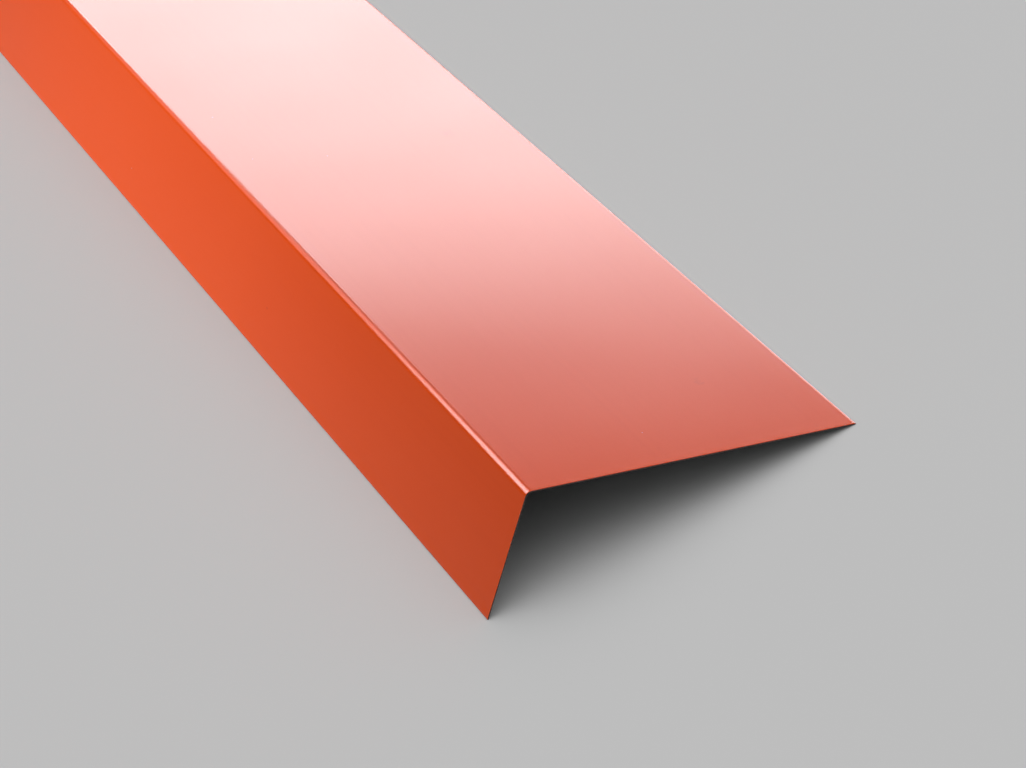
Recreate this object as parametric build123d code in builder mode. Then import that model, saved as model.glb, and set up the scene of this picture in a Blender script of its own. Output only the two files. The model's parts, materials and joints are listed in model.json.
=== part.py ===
"""Eaves flashing: one length of coil-coated steel sheet with a single fold along it.

On a roof the wide flange lies on the eaves board and the short leg hangs over its front, opened out
a little so that rain drips clear. Off the roof it stands on its two long free edges, fold upwards,
and that is how it is modelled: X along the length, Z up, origin on the floor between the two edges.
"""

import os

from build123d import *

# Driving dimensions, in millimetres and degrees
length = 2000  # one piece as it is sold
flange_width = 129  # from the free edge to where the two outer faces would meet
leg_width = 50  # measured the same way
fold_angle = 108.5  # inside, between flange and leg
fold_radius = 2.3  # on the inside of the fold
sheet = 0.5  # galvanised steel with its coatings
edge_roll = 0.25  # round that slitting leaves on the painted side of a free edge

# The section, in the flange's own axes: x runs to its free edge, y out of its painted face, and the
# outer faces meet at the origin
corner = Vector(0, 0)
flange_edge = Vector(flange_width, 0)
leg_edge = Vector(leg_width, 0).rotate(Axis.Z, -fold_angle)

# It stands on the unpainted corners of its two free edges, which sets how far the flange leans
flange_foot = flange_edge - Vector(0, sheet)
leg_foot = leg_edge + Vector(sheet, 0).rotate(Axis.Z, 90 - fold_angle)
lean = Vector(1, 0).get_angle(flange_foot - leg_foot)
between_feet = (flange_foot + leg_foot) / 2
leaning = Plane.YZ.rotated((-lean, 0, 0))
standing = Plane(
    origin=-leaning.from_local_coords(between_feet), x_dir=leaning.x_dir, z_dir=leaning.z_dir
)

# The sheet, folded from one blank
with BuildPart() as eaves_flashing:
    with BuildSketch(standing) as section:
        with BuildLine():
            FilletPolyline(leg_edge, corner, flange_edge, radius=fold_radius + sheet)
            offset(amount=sheet, side=Side.RIGHT)
        make_face()
        painted_corners = [
            section.vertices().sort_by_distance(free_edge)[0] for free_edge in (leg_edge, flange_edge)
        ]
        fillet(painted_corners, radius=edge_roll)
    extrude(amount=length / 2, both=True)

eaves_flashing.part.label = "eaves_flashing"

os.makedirs("parts", exist_ok=True)
export_step(eaves_flashing.part, "parts/eaves_flashing.step")
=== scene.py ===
import json
import math

import bmesh
import bpy
from mathutils import Matrix, Vector
from mathutils.geometry import intersect_plane_plane


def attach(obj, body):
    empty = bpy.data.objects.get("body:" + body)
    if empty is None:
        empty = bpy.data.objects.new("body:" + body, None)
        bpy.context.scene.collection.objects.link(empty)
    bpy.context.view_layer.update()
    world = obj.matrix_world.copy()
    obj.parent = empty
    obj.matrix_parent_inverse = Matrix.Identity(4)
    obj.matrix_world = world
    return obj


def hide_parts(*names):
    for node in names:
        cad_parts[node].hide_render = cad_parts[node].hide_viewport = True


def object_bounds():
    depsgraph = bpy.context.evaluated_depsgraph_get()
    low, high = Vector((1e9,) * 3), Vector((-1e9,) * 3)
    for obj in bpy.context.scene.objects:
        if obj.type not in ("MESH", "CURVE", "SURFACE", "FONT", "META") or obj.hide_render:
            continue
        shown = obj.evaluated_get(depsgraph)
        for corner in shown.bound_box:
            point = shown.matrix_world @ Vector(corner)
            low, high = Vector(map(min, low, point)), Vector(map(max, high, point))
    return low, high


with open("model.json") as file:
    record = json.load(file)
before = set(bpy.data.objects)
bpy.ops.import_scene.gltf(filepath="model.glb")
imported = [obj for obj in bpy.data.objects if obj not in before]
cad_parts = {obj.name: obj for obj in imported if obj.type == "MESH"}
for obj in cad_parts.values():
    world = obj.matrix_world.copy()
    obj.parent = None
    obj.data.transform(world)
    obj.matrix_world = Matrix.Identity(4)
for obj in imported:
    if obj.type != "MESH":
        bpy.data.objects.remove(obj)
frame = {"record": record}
cad_low, cad_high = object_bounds()
scene = bpy.context.scene

# Eaves flashing: one length of galvanised steel sheet, coil-coated in satin orange-red outside and pale
# grey inside. A folding machine turned the short fascia leg down from the wide roof flange in one bend,
# and shears cut the ends square. It stands on its two long free edges with the fold on top.
FLANGE_WIDTH = 0.129
LEG_WIDTH = 0.050
SHEET = 0.0005
FOLD_RADIUS = 0.0023
FOLD_STEPS = 32
FLAT_MARGIN = 0.0004
SLIT_RIM, SHEARED_RIM = 0.0009, 0.0003
RIM_SLOPE = math.tan(math.radians(8))
RIM_EASE = 0.0001
RIM_STEPS = 5
EDGE_ROLL = 0.00008
ROLL_ROOM = 0.00012
ROLL_STEPS = 3
CUT_SLACK = 1e-7
SHARP_ANGLE = math.radians(40)
COATED_SIDE, BACK_SIDE, CUT_EDGE = range(3)

mounts = {mount["name"]: mount for mount in frame["record"]["mounts"]}
along = Vector((1, 0, 0))
flange_normal = Vector(mounts["flange_top"]["axis"])
leg_normal = -Vector(mounts["leg_inside"]["axis"])
flange_point = Vector(mounts["flange_top"]["pos_m"])
leg_point = Vector(mounts["leg_inside"]["pos_m"]) + leg_normal * SHEET
corner, _ = intersect_plane_plane(flange_point, flange_normal, leg_point, leg_normal)
down_flange = flange_normal.cross(along)
down_leg = along.cross(leg_normal)
fold_turn = flange_normal.angle(leg_normal)
outer_radius = FOLD_RADIUS + SHEET
setback = outer_radius * math.tan(fold_turn / 2)
fold_centre = corner + down_leg * setback - leg_normal * outer_radius


def draw_on(bm, vertex, step):
    """A new vertex one step on from this one, joined to it by an edge."""
    grown = bmesh.ops.extrude_vert_indiv(bm, verts=[vertex])["verts"][0]
    grown.co += step
    return grown


def fold_sheet(low_end, high_end):
    """The folded sheet as a closed mesh, its faces sorted into coated side, back and cut edge."""
    bm = bmesh.new()
    depth = bm.verts.layers.float.new("depth")
    rim = bm.verts.layers.float.new("rim")

    # The coated line of the section: up the leg, over the fold, down the flange
    leg_edge = bm.verts.new(corner + down_leg * LEG_WIDTH + along * low_end)
    below_fold = draw_on(bm, leg_edge, -down_leg * (LEG_WIDTH - setback - FLAT_MARGIN))
    fold_start = draw_on(bm, below_fold, -down_leg * FLAT_MARGIN)
    turned = bmesh.ops.spin(
        bm, geom=[fold_start], cent=fold_centre, axis=along, angle=-fold_turn, steps=FOLD_STEPS
    )
    past_fold = draw_on(bm, turned["geom_last"][0], down_flange * FLAT_MARGIN)
    draw_on(bm, past_fold, down_flange * (FLANGE_WIDTH - setback - FLAT_MARGIN))

    # Drawn out to its length
    drawn = bmesh.ops.extrude_edge_only(bm, edges=bm.edges[:])
    drawn_verts = [item for item in drawn["geom"] if isinstance(item, bmesh.types.BMVert)]
    bmesh.ops.translate(bm, verts=drawn_verts, vec=along * (high_end - low_end))
    bmesh.ops.recalc_face_normals(bm, faces=bm.faces[:])

    # Lines along all four borders, where the shears and the slitter draw the coated side down
    borders = (
        (along * low_end, -along, SHEARED_RIM),
        (along * high_end, along, SHEARED_RIM),
        (corner + down_leg * LEG_WIDTH, down_leg, SLIT_RIM),
        (corner + down_flange * FLANGE_WIDTH, down_flange, SLIT_RIM),
    )
    for border, outward, rim_width in borders:
        for step in range(RIM_STEPS + 1):
            inward = ROLL_ROOM + (rim_width - ROLL_ROOM) * step / RIM_STEPS
            bmesh.ops.bisect_plane(
                bm,
                geom=bm.verts[:] + bm.edges[:] + bm.faces[:],
                plane_co=border - outward * inward,
                plane_no=outward,
                dist=CUT_SLACK,
            )

    # Given its thickness towards the inside of the fold
    bm.normal_update()
    coated = set(bm.faces)
    facing = {vertex: vertex.normal.copy() for vertex in bm.verts}
    bmesh.ops.solidify(bm, geom=bm.faces[:], thickness=SHEET)

    # How deep a point lies in the sheet, from 0 on the coated side to 1 on the back
    for vertex in bm.verts:
        vertex[depth] = 0.0 if vertex in facing else 1.0
    for face in bm.faces:
        if face in coated:
            face.material_index = COATED_SIDE
        elif all(vertex[depth] == 1.0 for vertex in face.verts):
            face.material_index = BACK_SIDE
        else:
            face.material_index = CUT_EDGE

    # The coated side falls away along its borders
    for vertex, normal in facing.items():
        sink = 0.0
        for border, outward, rim_width in borders:
            past = rim_width + (vertex.co - border).dot(outward)
            if past > 0:
                sink += RIM_SLOPE * (math.hypot(past, RIM_EASE) - RIM_EASE)
                vertex[rim] = max(vertex[rim], past / rim_width)
        vertex.co -= normal * sink
    border_edges = [
        edge
        for edge in bm.edges
        if {face.material_index for face in edge.link_faces} == {COATED_SIDE, CUT_EDGE}
    ]
    rolled = bmesh.ops.bevel(
        bm, geom=border_edges, offset=EDGE_ROLL, offset_type="OFFSET", affect="EDGES",
        segments=ROLL_STEPS, profile=0.5, material=-1,
    )
    for face in rolled["faces"]:
        face.material_index = COATED_SIDE
    return bm


bm = fold_sheet(cad_low.x, cad_high.x)
sheet_mesh = bpy.data.meshes.new("folded_sheet")
bm.to_mesh(sheet_mesh)
bm.free()
sheet_mesh.shade_smooth()
sheet_mesh.set_sharp_from_angle(angle=SHARP_ANGLE)
folded_sheet = bpy.data.objects.new("folded_sheet", sheet_mesh)
scene.collection.objects.link(folded_sheet)
flat_shading = folded_sheet.modifiers.new("keep_flats_flat", "WEIGHTED_NORMAL")
flat_shading.mode = "FACE_AREA"
flat_shading.weight = 100
flat_shading.keep_sharp = True
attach(folded_sheet, "root")
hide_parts("eaves_flashing")


def place(tree, kind, inputs, **settings):
    """A node of that kind, with each named input set to a value or linked to an output."""
    made = tree.nodes.new(kind)
    for name, value in settings.items():
        setattr(made, name, value)
    for name, value in inputs.items():
        if isinstance(value, bpy.types.NodeSocket):
            tree.links.new(value, made.inputs[name])
        else:
            made.inputs[name].default_value = value
    return made


def blended(tree, share, first, second):
    """A colour that goes from the first to the second with the share."""
    return place(tree, "ShaderNodeMix", {0: share, 6: first, 7: second}, data_type="RGBA").outputs[2]


def ranged(tree, value, low, high, to_low=0.0, to_high=1.0):
    """A value whose range from low to high is stretched to another range and goes no further."""
    limits = {"From Min": low, "From Max": high, "To Min": to_low, "To Max": to_high}
    return place(tree, "ShaderNodeMapRange", {"Value": value, **limits}).outputs[0]


def worked(tree, operation, first, second=0.0):
    """The result of a sum on two values."""
    return place(tree, "ShaderNodeMath", {0: first, 1: second}, operation=operation).outputs[0]


def moved(tree, operation, first, second):
    """The result of a sum on two vectors."""
    return place(tree, "ShaderNodeVectorMath", {0: first, 1: second}, operation=operation).outputs[0]


def noise(tree, vector, scale, detail=2.0):
    """A soft random value."""
    inputs = {"Vector": vector, "Scale": scale, "Detail": detail}
    return place(tree, "ShaderNodeTexNoise", inputs).outputs["Fac"]


def new_group(name, inputs, outputs):
    """An empty node group with these sockets, and the outputs of its input node."""
    group = bpy.data.node_groups.new(name, "ShaderNodeTree")
    for socket, kind in inputs.items():
        group.interface.new_socket(socket, in_out="INPUT", socket_type=kind)
    for socket in outputs:
        group.interface.new_socket(socket, in_out="OUTPUT", socket_type="NodeSocketFloat")
    return group, group.nodes.new("NodeGroupInput").outputs


def new_finish(name):
    """An empty material, its node tree and the object coordinates that its patterns read."""
    finish = bpy.data.materials.new(name)
    finish.use_nodes = True
    tree = finish.node_tree
    tree.nodes.clear()
    coordinates = tree.nodes.new("ShaderNodeTexCoord").outputs["Object"]
    return finish, tree, coordinates


def close_finish(tree, inputs):
    """The shader and output that end a material."""
    shader = place(tree, "ShaderNodeBsdfPrincipled", inputs)
    place(tree, "ShaderNodeOutputMaterial", {"Surface": shader.outputs["BSDF"]})


# Coil coating is rolled on while the strip runs, so it has faint streaks along the length, a fine
# orange-peel surface and slow cloudy changes of tone. Both coats share these.
STREAK_STRETCH = (0.004, 1.0, 1.0)
STREAK_SCALE, CLOUD_SCALE = 420.0, 6.0
CLOUDS_SEEN = (0.3, 0.7)
coil_texture, given = new_group(
    "coil_texture",
    {"Vector": "NodeSocketVector", "Peel Scale": "NodeSocketFloat"},
    ("Streaks", "Peel", "Clouds"),
)
stretched = moved(coil_texture, "MULTIPLY", given["Vector"], STREAK_STRETCH)
place(
    coil_texture,
    "NodeGroupOutput",
    {
        "Streaks": noise(coil_texture, stretched, STREAK_SCALE, 3.0),
        "Peel": noise(coil_texture, given["Vector"], given["Peel Scale"], 1.0),
        "Clouds": noise(coil_texture, given["Vector"], CLOUD_SCALE),
    },
)

# Dust: a few motes of different sizes, settled on both sides of the sheet. They lie one to a cell of a
# scattered pattern, and only some of the cells keep theirs.
SMALL_MOTE, LARGE_MOTE = 0.008, 0.028
fine_dust, given = new_group(
    "fine_dust",
    {"Vector": "NodeSocketVector", "Cells": "NodeSocketFloat", "Kept": "NodeSocketFloat"},
    ("Motes",),
)
cells = place(fine_dust, "ShaderNodeTexVoronoi", {"Vector": given["Vector"], "Scale": given["Cells"]})
draw = place(fine_dust, "ShaderNodeSeparateColor", {"Color": cells.outputs["Color"]})
mote_size = ranged(fine_dust, draw.outputs["Green"], 0.0, 1.0, SMALL_MOTE, LARGE_MOTE)
mote = worked(fine_dust, "LESS_THAN", cells.outputs["Distance"], mote_size)
kept = worked(fine_dust, "LESS_THAN", draw.outputs["Red"], given["Kept"])
place(fine_dust, "NodeGroupOutput", {"Motes": worked(fine_dust, "MULTIPLY", mote, kept)})

# Handling mark: a small scuff on the outside coat. It fades out from its middle and breaks up into
# grains.
FADE_FROM = 0.2
GRAINS_SEEN = (0.42, 0.58)
handling_mark, given = new_group(
    "handling_mark",
    {
        "Vector": "NodeSocketVector",
        "Middle": "NodeSocketVector",
        "Reach": "NodeSocketVector",
        "Grain": "NodeSocketFloat",
    },
    ("Mark",),
)
from_middle = moved(handling_mark, "SUBTRACT", given["Vector"], given["Middle"])
shares = moved(handling_mark, "DIVIDE", from_middle, given["Reach"])
distance = place(handling_mark, "ShaderNodeVectorMath", {0: shares}, operation="LENGTH").outputs["Value"]
fade = ranged(handling_mark, distance, FADE_FROM, 1.0, 1.0, 0.0)
grains = ranged(handling_mark, noise(handling_mark, given["Vector"], given["Grain"]), *GRAINS_SEEN)
place(handling_mark, "NodeGroupOutput", {"Mark": worked(handling_mark, "MULTIPLY", fade, grains)})

# Outside coat: satin orange-red polyester, clean but for a few motes of dust and faint handling marks,
# and chipped here and there right at the shears' cut.
DEEP_ORANGE = (0.79, 0.068, 0.001, 1.0)
LIGHT_ORANGE = (0.83, 0.077, 0.001, 1.0)
STREAK_ORANGE = (0.75, 0.062, 0.001, 1.0)
MARK_ORANGE = (0.46, 0.035, 0.006, 1.0)
MOTE_GREY = (0.62, 0.40, 0.34, 1.0)
CHIP_GREY = (0.42, 0.42, 0.43, 1.0)
COAT_PEEL_SCALE, CHIP_SCALE = 900.0, 900.0
COAT_DUST_CELLS, COAT_DUST_KEPT = 75.0, 0.30
CHIP_SPOTS, CHIP_RIM = (0.62, 0.68), (0.55, 0.95)
STREAKS_SEEN, STREAK_SHARE = (0.5, 0.8), 0.2
MOTE_SHARE = 0.5
COAT_SMOOTHEST, COAT_ROUGHEST, MARK_DULLING = 0.17, 0.21, 0.15
COAT_RELIEF, MOTE_HEIGHT = 1.5e-6, 1.2e-5
MARKS = (
    (corner + along * 0.6775 + down_flange * 0.1004, (0.0060, 0.0042, 0.0042), 900.0, 0.22),
    (corner + along * 0.9450 + down_flange * 0.0927, (0.0036, 0.0026, 0.0026), 300.0, 0.30),
    (corner + along * 0.9180 + down_flange * 0.0758, (0.0011, 0.0008, 0.0008), 90.0, 0.90),
    (corner + along * 0.7537 + down_leg * 0.0315, (0.0012, 0.0007, 0.0007), 90.0, 0.90),
)
coat, tree, coordinates = new_finish("orange_red_coat")
texture = place(
    tree,
    "ShaderNodeGroup",
    {"Vector": coordinates, "Peel Scale": COAT_PEEL_SCALE},
    node_tree=coil_texture,
)
streaks, peel, clouds = (texture.outputs[name] for name in ("Streaks", "Peel", "Clouds"))
dust = place(
    tree,
    "ShaderNodeGroup",
    {"Vector": coordinates, "Cells": COAT_DUST_CELLS, "Kept": COAT_DUST_KEPT},
    node_tree=fine_dust,
)
motes = dust.outputs["Motes"]
marked = 0.0
for middle, reach, grain, weight in MARKS:
    mark = place(
        tree,
        "ShaderNodeGroup",
        {"Vector": coordinates, "Middle": middle, "Reach": reach, "Grain": grain},
        node_tree=handling_mark,
    )
    marked = worked(tree, "ADD", worked(tree, "MULTIPLY", mark.outputs["Mark"], weight), marked)
rim = place(tree, "ShaderNodeAttribute", {}, attribute_name="rim").outputs["Fac"]
chip_spots = ranged(tree, noise(tree, coordinates, CHIP_SCALE), *CHIP_SPOTS)
chips = worked(tree, "MULTIPLY", ranged(tree, rim, *CHIP_RIM), chip_spots)

colour = blended(tree, clouds, DEEP_ORANGE, LIGHT_ORANGE)
streaked = ranged(tree, streaks, *STREAKS_SEEN, 0.0, STREAK_SHARE)
colour = blended(tree, streaked, colour, STREAK_ORANGE)
colour = blended(tree, marked, colour, MARK_ORANGE)
colour = blended(tree, worked(tree, "MULTIPLY", motes, MOTE_SHARE), colour, MOTE_GREY)
colour = blended(tree, chips, colour, CHIP_GREY)
roughness = ranged(tree, clouds, *CLOUDS_SEEN, COAT_SMOOTHEST, COAT_ROUGHEST)
roughness = worked(tree, "ADD", roughness, worked(tree, "MULTIPLY", marked, MARK_DULLING))
relief = worked(tree, "ADD", streaks, peel)
rolled_surface = place(tree, "ShaderNodeBump", {"Height": relief, "Distance": COAT_RELIEF, "Strength": 1.0})
raised = worked(tree, "SUBTRACT", worked(tree, "ADD", motes, marked), chips)
surface = place(
    tree,
    "ShaderNodeBump",
    {
        "Height": raised,
        "Distance": MOTE_HEIGHT,
        "Strength": 1.0,
        "Normal": rolled_surface.outputs["Normal"],
    },
)
close_finish(
    tree,
    {
        "Base Color": colour,
        "Roughness": roughness,
        "Normal": surface.outputs["Normal"],
        "IOR": 1.5,
        "Specular IOR Level": 0.25,
    },
)
folded_sheet.data.materials.append(coat)

# Back coat: thin pale grey epoxy, duller than the outside, with hairline rubs along its length from
# lying in a stack.
DULL_GREY = (0.36, 0.37, 0.37, 1.0)
PALE_GREY = (0.46, 0.47, 0.46, 1.0)
RUB_GREY = (0.56, 0.56, 0.55, 1.0)
DUST_GREY = (0.24, 0.23, 0.21, 1.0)
RUB_STRETCH = (0.02, 1.0, 1.0)
RUB_SCALE, WEAR_SCALE = 1400.0, 14.0
RUBS_SEEN, WEAR_SEEN, TONES_SEEN = (0.66, 0.72), (0.45, 0.65), (0.3, 0.7)
RUB_SHARE, DUST_SHARE = 0.7, 0.6
BACK_DUST_CELLS, BACK_DUST_KEPT = 110.0, 0.45
BACK_SMOOTHEST, BACK_ROUGHEST, RUB_POLISH = 0.44, 0.56, 0.12
BACK_PEEL_SCALE, BACK_RELIEF = 600.0, 4e-6
back, tree, coordinates = new_finish("grey_back_coat")
texture = place(
    tree,
    "ShaderNodeGroup",
    {"Vector": coordinates, "Peel Scale": BACK_PEEL_SCALE},
    node_tree=coil_texture,
)
streaks, peel, clouds = (texture.outputs[name] for name in ("Streaks", "Peel", "Clouds"))
dust = place(
    tree,
    "ShaderNodeGroup",
    {"Vector": coordinates, "Cells": BACK_DUST_CELLS, "Kept": BACK_DUST_KEPT},
    node_tree=fine_dust,
)
motes = dust.outputs["Motes"]
hairlines = noise(tree, moved(tree, "MULTIPLY", coordinates, RUB_STRETCH), RUB_SCALE, 1.0)
worn = ranged(tree, noise(tree, coordinates, WEAR_SCALE), *WEAR_SEEN)
rubs = worked(tree, "MULTIPLY", ranged(tree, hairlines, *RUBS_SEEN), worn)

colour = blended(tree, ranged(tree, streaks, *TONES_SEEN), DULL_GREY, PALE_GREY)
colour = blended(tree, worked(tree, "MULTIPLY", rubs, RUB_SHARE), colour, RUB_GREY)
colour = blended(tree, worked(tree, "MULTIPLY", motes, DUST_SHARE), colour, DUST_GREY)
roughness = ranged(tree, clouds, *CLOUDS_SEEN, BACK_SMOOTHEST, BACK_ROUGHEST)
roughness = worked(tree, "SUBTRACT", roughness, worked(tree, "MULTIPLY", rubs, RUB_POLISH))
surface = place(tree, "ShaderNodeBump", {"Height": peel, "Distance": BACK_RELIEF, "Strength": 1.0})
close_finish(
    tree,
    {"Base Color": colour, "Roughness": roughness, "Normal": surface.outputs["Normal"], "IOR": 1.5},
)
folded_sheet.data.materials.append(back)

# Cut edge: from the coated side inwards, smeared paint, a bright line of zinc, a burnished band where the
# blade slid and a dark torn band, then zinc and back coat again. All the steel bands are painted far
# darker than bare steel, as painted shade for the shade that the cut end stands in.
SHADED_CUT_BANDS = (
    (0.00, (0.40, 0.06, 0.02, 1.0)),
    (0.07, (0.34, 0.24, 0.22, 1.0)),
    (0.14, (0.20, 0.12, 0.10, 1.0)),
    (0.42, (0.14, 0.075, 0.06, 1.0)),
    (0.55, (0.085, 0.045, 0.038, 1.0)),
    (0.92, (0.095, 0.055, 0.045, 1.0)),
    (1.00, (0.26, 0.26, 0.26, 1.0)),
)
BARE_ZINC = (0.50, 0.50, 0.51, 1.0)
TEAR_SCALE, BURR_SCALE = 1600.0, 420.0
TEARS_SEEN, BURRS_SEEN, TORN_FROM = (0.3, 0.7), (0.70, 0.74), (0.35, 0.6)
BAND_WANDER = 0.12
TEAR_DEPTH = 6e-5
BURNISHED_ROUGHNESS, TORN_ROUGHER = 0.38, 0.25
cut, tree, coordinates = new_finish("sheared_steel")
depth = place(tree, "ShaderNodeAttribute", {}, attribute_name="depth").outputs["Fac"]
tear = noise(tree, coordinates, TEAR_SCALE, 3.0)
ragged = worked(tree, "ADD", depth, ranged(tree, tear, *TEARS_SEEN, -BAND_WANDER, BAND_WANDER))
bands = place(tree, "ShaderNodeValToRGB", {"Fac": ragged})
ramp = bands.color_ramp
ramp.elements[0].position, ramp.elements[0].color = SHADED_CUT_BANDS[0]
ramp.elements[1].position, ramp.elements[1].color = SHADED_CUT_BANDS[-1]
for position, band in SHADED_CUT_BANDS[1:-1]:
    ramp.elements.new(position).color = band
burrs = ranged(tree, noise(tree, coordinates, BURR_SCALE), *BURRS_SEEN)
colour = blended(tree, burrs, bands.outputs["Color"], BARE_ZINC)
torn = ranged(tree, ragged, *TORN_FROM)
roughness = worked(tree, "ADD", worked(tree, "MULTIPLY", torn, TORN_ROUGHER), BURNISHED_ROUGHNESS)
relief = worked(tree, "MULTIPLY", tear, torn)
surface = place(tree, "ShaderNodeBump", {"Height": relief, "Distance": TEAR_DEPTH, "Strength": 1.0})
close_finish(
    tree,
    {"Base Color": colour, "Roughness": roughness, "Normal": surface.outputs["Normal"], "Metallic": 0.4},
)
folded_sheet.data.materials.append(cut)

# Stage: a plain pale floor. It throws less light back at the object than it shows, so that the leg and
# the space under the flange keep their depth of tone.
FLOOR_REACH = 40.0
FLOOR_SHOWN = (0.72, 0.72, 0.72, 1.0)
FLOOR_GIVEN = (0.45, 0.45, 0.45, 1.0)
floor_mesh = bpy.data.meshes.new("floor")
bm = bmesh.new()
bmesh.ops.create_grid(bm, x_segments=1, y_segments=1, size=FLOOR_REACH)
bmesh.ops.translate(bm, verts=bm.verts[:], vec=Vector((0, 0, cad_low.z)))
bm.to_mesh(floor_mesh)
bm.free()
floor = bpy.data.objects.new("floor", floor_mesh)
scene.collection.objects.link(floor)
paper, tree, _ = new_finish("pale_floor")
rays = place(tree, "ShaderNodeLightPath", {}).outputs
in_sight = worked(tree, "ADD", rays["Is Camera Ray"], rays["Is Glossy Ray"])
in_sight = worked(tree, "ADD", in_sight, rays["Is Transmission Ray"])
colour = blended(tree, in_sight, FLOOR_GIVEN, FLOOR_SHOWN)
close_finish(tree, {"Base Color": colour, "Roughness": 1.0, "Specular IOR Level": 0.0})
floor.data.materials.append(paper)

# Lights: an even room, brightest overhead and a little to the flange's side. Four white cards show in
# gloss alone, two for the sheen on the flange and the far fold and two for the bright line on the fold.
# A warm soft box brightens the leg's far half, and lights only the sheet, so the floor stays plain.
HORIZON_LIGHT, OVERHEAD_LIGHT = 0.08, 1.22
LIGHT_FROM, LIGHT_TO = (math.sin(math.radians(angle)) for angle in (22, 66))
OVERHEAD_LEAN = math.radians(10)
overhead = Vector((0.0, math.sin(OVERHEAD_LEAN), math.cos(OVERHEAD_LEAN)))
world = bpy.data.worlds.new("studio")
scene.world = world
world.use_nodes = True
tree = world.node_tree
tree.nodes.clear()
direction = tree.nodes.new("ShaderNodeTexCoord").outputs["Generated"]
lift = place(tree, "ShaderNodeVectorMath", {0: direction, 1: overhead}, operation="DOT_PRODUCT")
strength = ranged(tree, lift.outputs["Value"], LIGHT_FROM, LIGHT_TO, HORIZON_LIGHT, OVERHEAD_LIGHT)
room = place(tree, "ShaderNodeBackground", {"Color": (1.0, 1.0, 1.0, 1.0), "Strength": strength})
place(tree, "ShaderNodeOutputWorld", {"Surface": room.outputs[0]})


def toward(azimuth, elevation):
    """A direction in degrees: round from the far end towards the flange's side, and up from level."""
    a = math.radians(azimuth)
    e = math.radians(elevation)
    return Vector((-math.cos(a) * math.cos(e), math.sin(a) * math.cos(e), math.sin(e)))


WATTS_FOR_WHITE = 4.0


def soft_box(name, aim_at, away, up, size, level, spread, tint=(1.0, 1.0, 1.0)):
    """A rectangular lamp that faces a point from this far away, out of the camera's sight."""
    lamp = bpy.data.lights.new(name, "AREA")
    lamp.shape = "RECTANGLE"
    lamp.size, lamp.size_y = size
    lamp.energy = WATTS_FOR_WHITE * level * lamp.size * lamp.size_y
    lamp.spread = math.radians(spread)
    lamp.color = tint
    box = bpy.data.objects.new(name, lamp)
    back_axis = away.normalized()
    side_axis = up.cross(back_axis).normalized()
    up_axis = back_axis.cross(side_axis)
    turn = Matrix((side_axis, up_axis, back_axis)).transposed().to_4x4()
    box.matrix_world = Matrix.Translation(aim_at + away) @ turn
    box.visible_camera = False
    scene.collection.objects.link(box)
    return box


BACK_SIZE, BACK_LEVEL = (1.5, 0.52), 1.50
FOLD_SIZE, FOLD_LEVEL = (1.0, 0.22), 2.4
TAIL_SIZE, TAIL_LEVEL = (1.0, 0.6), 0.32
SHEEN_SIZE, SHEEN_LEVEL = (0.36, 0.24), 2.6
LEG_SIZE, LEG_LEVEL = (0.5, 0.5), 0.98
CARD_SPREAD, LEG_SPREAD = 100, 40
COOL_WHITE = (0.92, 0.98, 1.02)
WARM_WHITE = (1.0, 1.12, 0.9)
shown = Vector((0.86, 0.136, 0.0))
near_fold = Vector((1.0, -0.045, 0.04))
far_fold = Vector((0.52, -0.045, 0.04))
far_leg = Vector((0.53, -0.06, 0.02))
from_behind = toward(26.4, 11.0) * 2.6
from_ahead = toward(-9.0, 35.0) * 1.5
from_between = toward(13.5, 21.5) * 2.0
from_leg_side = Vector((-0.14, -1.38, 0.56))
upright = Vector((0, 0, 1))
tilted = Vector((0.1, -0.25, 0.9))
cards = (
    soft_box(
        "back_card", shown, from_behind, flange_normal, BACK_SIZE, BACK_LEVEL, CARD_SPREAD, COOL_WHITE
    ),
    soft_box("fold_card", near_fold, from_ahead, tilted, FOLD_SIZE, FOLD_LEVEL, CARD_SPREAD),
    soft_box("tail_card", far_fold, from_ahead, tilted, TAIL_SIZE, TAIL_LEVEL, CARD_SPREAD),
    soft_box(
        "sheen_card", far_fold, from_between, upright, SHEEN_SIZE, SHEEN_LEVEL, CARD_SPREAD, COOL_WHITE
    ),
)
for card in cards:
    card.visible_diffuse = False
leg_box = soft_box(
    "leg_soft_box", far_leg, from_leg_side, upright, LEG_SIZE, LEG_LEVEL, LEG_SPREAD, WARM_WHITE
)
lit_alone = bpy.data.collections.new("lit_alone")
lit_alone.objects.link(folded_sheet)
leg_box.light_linking.receiver_collection = lit_alone

# Camera: a long lens that looks along the fold from above its near end, as the photograph does. It rolls
# by about as much as the part leans when it stands unheld.
CAMERA_DISTANCE = 1.37525
AZIMUTH, ELEVATION, ROLL = (math.radians(angle) for angle in (-13.06, 31.29, -20.57))
LENS, SENSOR_WIDTH = 130.64, 36.0
CLIP_NEAR, CLIP_FAR = 0.05, 200.0
aim = Vector((0.9184, -0.01864, 0.03136))
level_axis = Vector((math.cos(AZIMUTH), math.sin(AZIMUTH), 0.0))
back_axis = level_axis * math.cos(ELEVATION) + upright * math.sin(ELEVATION)
camera = bpy.data.cameras.new("camera")
camera.lens = LENS
camera.sensor_width = SENSOR_WIDTH
camera.clip_start = CLIP_NEAR
camera.clip_end = CLIP_FAR
camera_object = bpy.data.objects.new("camera", camera)
level_turn = (-back_axis).to_track_quat("-Z", "Y").to_matrix().to_4x4()
camera_object.matrix_world = (
    Matrix.Translation(aim + back_axis * CAMERA_DISTANCE) @ level_turn @ Matrix.Rotation(ROLL, 4, "Z")
)
scene.collection.objects.link(camera_object)
scene.camera = camera_object
scene.view_settings.view_transform = "Standard"

bpy.context.view_layer.update()
